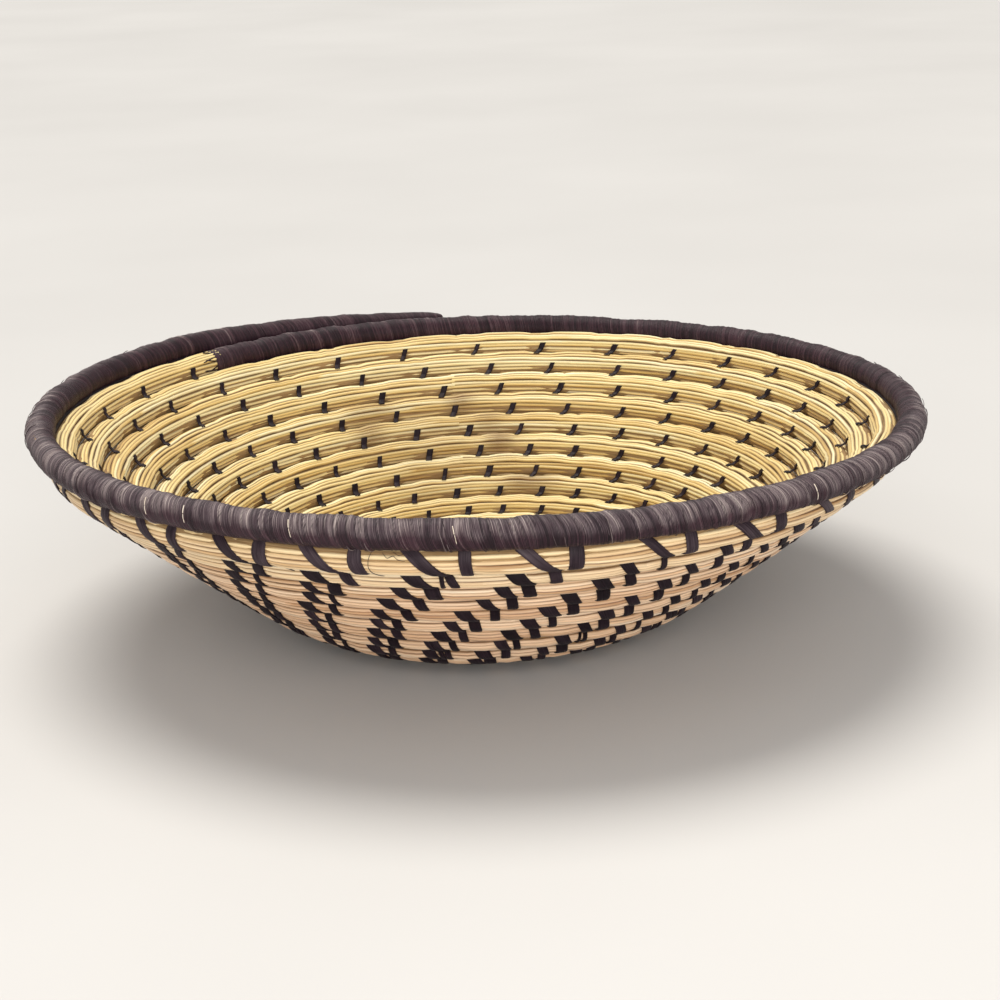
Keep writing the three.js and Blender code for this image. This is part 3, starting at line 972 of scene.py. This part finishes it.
def lashing_stitches():
    # The lashing legs get painted light too
    row_of_stitches("rim_lashing_legs", RIM_START + 0.003, RIM_START + 0.997, "rim_lashing", upper=False,
                    lean=0.0, grey=0.52, under_rim=True, doubled=0.35, slot="rim_strip")


def base_stitches():
    """The stitches of the innermost strip have only the upper leg."""
    for count in range(BASE_STRIPS):
        last = RIM_START - STITCHED_ROWS - BASE_STRIP_TURNS * count
        row_of_stitches(f"stitches_base_{count + 1}", max(FIRST_STITCH, last - BASE_STRIP_TURNS), last,
                        f"base_sewing_strip_{count + 1}", lower=count < BASE_STRIPS - 1)


# The dark marks inside, where a stitch goes round the edge of a row

MARK_DEGREES = [150, 138, 126, 234, 222, 210]
MARK_ROWS_UP = np.repeat([-1.0, 0.0], 3)
MARK_RADII = np.array([4.2, 4.62, 4.62, 4.62, 4.62, 4.2])
MARK_CROWN = np.array([-0.1, 0.02, 0.05, 0.05, 0.02, -0.1])
MARK_LEAN = 0.15
MARK_WIDEST = 2.2
MARK_WIDTH_SHARE = 0.62
MARK_WIDTH_RANGE = (0.75, 1.15)
MARK_TONE = (0.4, 0.2)
MARK_MAP_STEP = 0.013


def inside_mark(pile, number):
    rng = default_rng(number + 90000)
    turn = STITCH_TURNS[number]
    width = min(MARK_WIDEST, stitch_width(turn) * MARK_WIDTH_SHARE) * rng.uniform(*MARK_WIDTH_RANGE)
    angles = np.radians(MARK_DEGREES)
    up = MARK_RADII * np.sin(angles)
    out = MARK_RADII * np.cos(angles)
    rows = MARK_ROWS_UP + up / PITCH
    middle = turn + (rows + 0.5) * MARK_LEAN / STITCHES_PER_TURN
    half = np.full(len(angles), width / 2 / turn_length(turn - 0.5))
    tone = unit(rng.normal(*MARK_TONE))
    band(pile, middle, half, MARK_ROWS_UP, up, out, angles, MARK_CROWN,
         rows * PITCH * MM + number * MARK_MAP_STEP, width * MM, jump=number * SEED_JUMP, tone=tone,
         grey=0.1)


def inside_marks(name, first, last, node_names):
    pile = Pile()
    for number in numbers_between(first, last):
        inside_mark(pile, number)
    pile.piece(name, STRIP, "sewing_strip", *node_names)


def inside_stitches():
    wall_foot = RIM_START - STITCHED_ROWS
    inside_marks("inside_stitches_wall", wall_foot, RIM_START,
                 [f"sewing_strip_row_{row:02d}" for row in range(1, STITCHED_ROWS + 1)])
    inside_marks("inside_stitches_base", FIRST_STITCH, wall_foot,
                 [f"base_sewing_strip_{count + 1}" for count in range(BASE_STRIPS)])


# The rim: strips wound round the last row, a little slanted, creased and bumpy

RIM_SIDES = 28
RIM_STEP = 0.42
RIM_LENGTH = TURN * middle_at(ROWS - 0.5)[0]
BAND_ADVANCE = -6.5
OUTERMOST = 0.75
# Layers of noise: seed, period in mm and size in mm
WINDING_SWAY = (500, 14.0, 0.5)
WINDING_SHIFT = (501, 9.0, 0.35)
FINE_BUMPS = (502, 1.0, 0.07)
HUMPS = (503, 5.0, 0.42)
BROAD_SWELLS = (504, 13.0, 0.16)
UNDER_SWELLS = (505, 7.0, 0.3)
# Ragged edge of the painted light on the rim's top
WORN_EDGE = (506, 2.2, 0.16)
HUMPS_TURNED = 0.3
UNDER_TURNED = 0.5
RIM_SUNK = 0.22
SEAT_DEPTH = 0.25
END_SEAT_DEPTH = 0.75
END_SEAT_START = 0.98
END_SEAT_RISE = 60
FOLD_WIDTHS = [0.9, 1.4, 2.0, 2.8]
FOLD_HEIGHTS = (0.06, 0.3)
LAP_WIDTHS = [3.4, 4.6, 6.0]
LAP_HEIGHTS = (0.02, 0.16)
FOLD_MARGIN = 20
FOLD_CURVE = 1.4
FOLD_DROP = 5
# Which folds get painted shade at their edges, and how wide it is
GAP_CHANCE = 0.4
GAP_BEFORE = 0.13
GAP_AFTER = 0.1


def crease_heights(x, seed, widths, heights):
    """Height of lapped folds along the rim: each rises slowly and drops to the next."""
    rng = default_rng(seed)
    count = int((x.max() - x.min() + 2 * FOLD_MARGIN) / np.mean(widths) * 1.3)
    edges = x.min() - FOLD_MARGIN + np.cumsum(rng.choice(widths, count) * rng.uniform(0.75, 1.25, count))
    lift = rng.uniform(*heights, count)
    index = np.clip(np.searchsorted(edges, x) - 1, 0, count - 2)
    share = unit((x - edges[index]) / (edges[index + 1] - edges[index]))
    drop = unit((1 - share) * FOLD_DROP)
    return lift[index] * share ** FOLD_CURVE * drop, index, share


def rim_point(turn, angle, radius):
    """A point off the middle of the rim; angle 0 is up the wall and 90 degrees out of it."""
    return place(turn, radius * np.cos(angle) + rim_drop(turn), radius * np.sin(angle))


def winding(x, swept, angles):
    """How far along the rim each point is, in mm, once the slant is taken out."""
    sway = layer(*WINDING_SWAY, x)[:, None] * np.sin(angles * 2)
    slanted = x[:, None] - swept * BAND_ADVANCE + sway
    return slanted + layer(*WINDING_SHIFT, x)[:, None] * np.sin(angles)


def rim_radii(turns, x, angles, slanted, folds, laps):
    """Distance of the surface from the middle of the rim, in mm."""
    fine = layer(*FINE_BUMPS, slanted)
    humps = layer(*HUMPS, slanted) * unit(np.cos(angles + HUMPS_TURNED))
    broad = layer(*BROAD_SWELLS, x)[:, None]
    under = layer(*UNDER_SWELLS, slanted) * unit(-np.cos(angles - UNDER_TURNED))
    radius = RIM_RADIUS - RIM_SUNK + folds + laps + fine + humps + broad + under
    radius = radius * rim_size(turns)[:, None]
    end_seat = smooth_step((turns - RIM_START - END_SEAT_START) * END_SEAT_RISE)[:, None] * END_SEAT_DEPTH
    return radius + (SEAT_DEPTH + end_seat) * unit(-np.cos(angles)) ** 2


def rim_ends(turns, x):
    """A share of the thickness: rounded at the tip, swollen and drawn in at the start."""
    to_tip = unit((ROWS - turns) * RIM_LENGTH / 5.0)
    rounded = np.sqrt(np.clip(1 - (1 - to_tip) ** 2, 0.0004, 1))
    swollen = 1 + 0.14 * smooth_step(-x / 6.0 + 0.6)
    drawn_in = unit(0.95 + (x - x[0]) / 8.0)
    return rounded * swollen * drawn_in


def random_tones(seed, spread, index):
    return unit(default_rng(seed).normal(0.5, spread, index.max() + 2))[index]


def rim_gap(fold, share):
    """Painted shade: a dark line at both edges of some folds."""
    is_deep = default_rng(79).uniform(0, 1, fold.max() + 2)[fold] > GAP_CHANCE
    return np.maximum(np.exp(-(share / GAP_BEFORE) ** 2), np.exp(-((1 - share) / GAP_AFTER) ** 2)) * is_deep


def rim_worn(slanted, angles):
    """Painted light and shade: the wrapping is painted lighter on its top and darker below, with a ragged
    edge between.
    """
    return smooth_step((np.cos(angles) - 0.42 + 1.3 * layer(*WORN_EDGE, slanted)) / 0.55)


def rim_wrapping():
    pile = Pile()
    turns = stations(RIM_START - RIM_LEAD, ROWS, RIM_STEP)
    x = (turns - RIM_START) * RIM_LENGTH
    swept = np.arange(RIM_SIDES) / RIM_SIDES
    angles = swept * TURN + np.pi
    slanted = winding(x, swept, angles)
    folds, fold, share = crease_heights(slanted, 77, FOLD_WIDTHS, FOLD_HEIGHTS)
    laps, lap, _ = crease_heights(slanted, 78, LAP_WIDTHS, LAP_HEIGHTS)
    radius = rim_radii(turns, x, angles, slanted, folds, laps)
    points = rim_point(turns[:, None], angles, radius)
    middles = rim_point(turns, 0.0, 0.0)[:, None]
    points = middles + (points - middles) * rim_ends(turns, x)[:, None, None]
    tone = 0.55 * random_tones(8, 0.26, fold) + 0.3 * random_tones(9, 0.24, lap) + 0.15 * share
    map_across = np.concatenate([slanted, slanted[:, :1] - BAND_ADVANCE], axis=1) * MM
    pile.grid(points, around_map(RIM_SIDES, RIM_RADIUS), map_across, tone=tone,
              worn=rim_worn(slanted, angles), gap=rim_gap(fold, share))
    pile.piece("rim_wrapping", RIM, "rim_strip", "rim_wrap")


# Loose fibres, and pale strands on the rim that are painted highlights

FIBRE_SIDES = 4
FIBRE_MAP_STEPS = (0.013, 0.007)
STRAND_POINTS = 16
STRAND_WIGGLE = 0.35
STRAND_SLANT = 0.8
# Where the painted highlights lie on the rim, in degrees
PALE_PLACES = (229.5, 235.5, 249.0, 267.3, 311.0)
# First and last share of the way round the rim, and radius, of the two lengths of each
PALE_LENGTHS = ((0.53, 0.61, 0.17), (0.615, 0.7, 0.12))
DARK_FIBRES = 110


def fibre(pile, path, radius, seed, **values):
    """A thin round strand along points in metres, pointed at both ends."""
    along = np.gradient(path, axis=0)
    along = along / np.linalg.norm(along, axis=1, keepdims=True)
    side = np.cross(along, [0.0, 0.0, 1.0])
    side = side / np.maximum(np.linalg.norm(side, axis=1, keepdims=True), 1e-6)
    other = np.cross(side, along)
    pointed = np.sin(np.linspace(0.04, 0.96, len(path)) * np.pi) * 2.5
    thin = np.sqrt(unit(pointed)) * radius * MM
    sides = directions(FIBRE_SIDES)[None, :, None]
    ring = side[:, None] * np.cos(sides) + other[:, None] * np.sin(sides)
    points = path[:, None] + ring * thin[:, None, None]
    distance = running_total(np.linalg.norm(np.diff(path, axis=0), axis=1))
    shift_along, shift_around = (seed * step for step in FIBRE_MAP_STEPS)
    around = around_map(FIBRE_SIDES, radius)
    pile.grid(points, distance[:, None] + shift_along, around + shift_around, **values)


def rim_turn(azimuth):
    """The rim's turn at a direction in degrees."""
    return ROWS - ((azimuth - np.degrees(RIM_END_ANGLE)) % 360) / 360


def strand_on_rim(pile, turn, first, last, radius, height, seed, **values):
    """A strand on the wrapping, with its slant, from one share of the way round to another."""
    swept = np.linspace(first, last, STRAND_POINTS)
    slant = default_rng(seed).uniform(-STRAND_SLANT, STRAND_SLANT)
    wiggle = STRAND_WIGGLE * track(seed, swept, 0.2) + slant * (swept - OUTERMOST)
    turns = turn + ((swept - OUTERMOST) * BAND_ADVANCE + wiggle) / RIM_LENGTH
    fibre(pile, rim_point(turns, swept * TURN + np.pi, RIM_RADIUS + height), radius, seed, **values)


def pale_fibres():
    pile = Pile()
    for count, azimuth in enumerate(PALE_PLACES):
        for first, last, radius in PALE_LENGTHS:
            strand_on_rim(pile, rim_turn(azimuth), first, last, radius, height=0.14, seed=700 + count)
    pile.piece("pale_fibres", PALE, "rim_strip", "rim_wrap")


def dark_fibres():
    pile = Pile()
    rng = default_rng(12)
    for count in range(DARK_FIBRES):
        first = rng.uniform(0.4, 0.75)
        turn = rng.uniform(RIM_START + 0.01, ROWS - 0.15)
        last = first + rng.uniform(0.15, 0.4)
        radius = rng.uniform(0.09, 0.17)
        height = rng.uniform(0.1, 0.24)
        # Each fibre takes a random share of the rim's painted light and shade
        strand_on_rim(pile, turn, first, last, radius, height, seed=900 + count,
                      tone=rng.uniform(0.1, 1.0), worn=rng.uniform(0.2, 1.0), gap=0.0)
    pile.piece("dark_fibres", RIM, "rim_strip", "rim_wrap")


# Loose hairs at the front, and frayed ends where the wrapping begins

# Direction in degrees, radius, rows up from the rim, and points: mm along, degrees from out to up, mm off
HAIRS = (
    (257.4, 0.11, -1.0, ((0, 88, 5.2), (0.9, 62, 5.4), (1.0, 38, 5.5),
                         (0.3, 18, 5.4), (-1.2, 0, 5.2), (-2.8, -14, 5.1))),
    (258.6, 0.1, -1.0, ((0, 84, 5.3), (-1.5, 66, 5.8), (-3.2, 76, 5.6), (-4.4, 64, 5.9), (-6.5, 60, 5.4))),
    (259.8, 0.09, -1.0, ((0, 88, 5.2), (-1.8, 74, 6.2), (-3.6, 82, 5.9), (-5.2, 70, 5.6))),
    (243.0, 0.2, -2.0, ((12, 50, 5.2), (6, 54, 5.3), (0, 56, 5.3), (-6, 54, 5.3), (-9, 46, 5.2))),
)
HAIR_SMOOTHING = 12
POINTS_PER_KNOT = 10
FRAYED_DIRECTIONS = (150, 172, 196, 218, 240, 262, 286)
FRAYED_POINTS = 8
FRAYED_START = 0.8
FRAYED_LENGTH = 3.5
FRAYED_LONGER = 1.6


def curled_hair(pile, azimuth, radius, rows_up, knots, seed):
    knots = np.array(knots, float)
    where = np.linspace(0, len(knots) - 1, POINTS_PER_KNOT * len(knots))
    spot = np.stack([np.interp(where, np.arange(len(knots)), knot) for knot in knots.T], axis=1)
    for _ in range(HAIR_SMOOTHING):
        spot[1:-1] = (spot[:-2] + 2 * spot[1:-1] + spot[2:]) / 4
    turns = rim_turn(azimuth) + spot[:, 0] / RIM_LENGTH
    angle = np.radians(spot[:, 1])
    path = place(turns, spot[:, 2] * np.sin(angle), spot[:, 2] * np.cos(angle), rows_up)
    fibre(pile, path, radius, seed, tone=0.35, worn=0.25, gap=0.0)


def frayed_end(pile, count, degrees):
    """An end of strip that lies back over the bare bundle."""
    swing = np.radians(degrees) + np.linspace(0, 0.25, FRAYED_POINTS) * (-1) ** count
    reach = -FRAYED_LENGTH - count % 3 * FRAYED_LONGER
    turns = RIM_START - RIM_LEAD + np.linspace(FRAYED_START, reach, FRAYED_POINTS) / RIM_LENGTH
    lift = np.linspace(4.5, 5.15, FRAYED_POINTS)
    path = place(turns, lift * np.cos(swing), lift * np.sin(swing))
    fibre(pile, path, radius=0.3, seed=40 + count, tone=0.3, worn=0.2, gap=0.0)


def loose_hairs():
    pile = Pile()
    for seed, (azimuth, radius, rows_up, knots) in enumerate(HAIRS, start=1):
        curled_hair(pile, azimuth, radius, rows_up, knots, seed)
    for count, degrees in enumerate(FRAYED_DIRECTIONS):
        frayed_end(pile, count, degrees)
    pile.piece("loose_hairs", RIM, "rim_strip", "rim_wrap")


# Floor and light

FLOOR_REACH = 8.0
LAMP_TARGET = Vector((0, 0, 0.04))
# Name, kind, place, power, width (an angle for the sun, metres for the area) and colour
LAMPS = (
    ("overhead", "SUN", (-0.2, 0.42, 1.35), 2.75, np.radians(36), (1.0, 0.965, 0.9)),
    ("front", "AREA", (0.1, -1.5, 0.55), 18.0, 1.1, (1.0, 0.97, 0.94)),
)


def studio_floor():
    corners = [(x * FLOOR_REACH, y * FLOOR_REACH, 0) for x, y in ((-1, -1), (1, -1), (1, 1), (-1, 1))]
    mesh = bpy.data.meshes.new("studio_floor")
    mesh.from_pydata(corners, [], [(0, 1, 2, 3)])
    mesh.materials.append(FLOOR)
    floor = new_object("studio_floor", mesh)


def sky():
    world = bpy.data.worlds.new("studio")
    SCENE.world = world
    world.use_nodes = True
    tree = world.node_tree
    feed(tree, tree.nodes["Background"], {"Color": (1.0, 0.985, 0.96), "Strength": 0.58})


def lamp(name, kind, spot, power, width, colour):
    light = bpy.data.lights.new(name, kind)
    light.energy = power
    light.color = colour
    if kind == "SUN":
        light.angle = width
    else:
        light.size = width
    made = new_object(name, light)
    made.location = spot
    made.rotation_mode = "QUATERNION"
    made.rotation_quaternion = (LAMP_TARGET - Vector(spot)).to_track_quat("-Z", "Y")


# The camera, solved from the photograph: distances in mm, focal length and shifts in pixels

CAMERA_DISTANCE = 730.5
CAMERA_ELEVATION = np.radians(17.135)
CAMERA_ROLL = np.radians(2.19)
CAMERA_FOCAL = 2138.6
CAMERA_SHIFT_X = -17.93
CAMERA_SHIFT_Y = -6.51
AIM_HEIGHT = 40.93
IMAGE_WIDTH = 1000
SENSOR_WIDTH = 36.0


def turned(vector, axis, angle):
    along = axis * np.dot(axis, vector) * (1 - np.cos(angle))
    return vector * np.cos(angle) + np.cross(axis, vector) * np.sin(angle) + along


def camera_axes():
    """Right, up and forward: panned and tilted for the shifts, then rolled."""
    forward = np.array([0, np.cos(CAMERA_ELEVATION), -np.sin(CAMERA_ELEVATION)])
    right = np.array([1.0, 0, 0])
    up = np.cross(right, forward)
    pan = np.arctan(-CAMERA_SHIFT_X / CAMERA_FOCAL)
    tilt = np.arctan(CAMERA_SHIFT_Y / CAMERA_FOCAL)
    forward, right = turned(forward, up, -pan), turned(right, up, -pan)
    forward, up = turned(forward, right, tilt), turned(up, right, tilt)
    return turned(right, forward, CAMERA_ROLL), turned(up, forward, CAMERA_ROLL), forward


def camera():
    back = CAMERA_DISTANCE * np.cos(CAMERA_ELEVATION)
    height = CAMERA_DISTANCE * np.sin(CAMERA_ELEVATION) + AIM_HEIGHT
    spot = np.array([0, -back, height]) * MM
    right, up, forward = camera_axes()
    lens = bpy.data.cameras.new("camera")
    lens.sensor_width = SENSOR_WIDTH
    lens.lens = SENSOR_WIDTH * CAMERA_FOCAL / IMAGE_WIDTH
    lens.clip_start = 0.01
    lens.clip_end = 20
    matrix = Matrix.Identity(4)
    for column, axis in enumerate((right, up, -forward, spot)):
        for row in range(3):
            matrix[row][column] = axis[row]
    eye = new_object("camera", lens)
    eye.matrix_world = matrix
    SCENE.camera = eye


# The bowl, piece by piece, and the studio round it

bundle_straws()
rim_joint()
bundle_core()
wall_stitches()
lashing_stitches()
base_stitches()
inside_stitches()
rim_wrapping()
pale_fibres()
dark_fibres()
loose_hairs()
studio_floor()
sky()
for settings in LAMPS:
    lamp(*settings)
camera()
SCENE.view_settings.view_transform = "Standard"
SCENE.view_settings.look = "None"
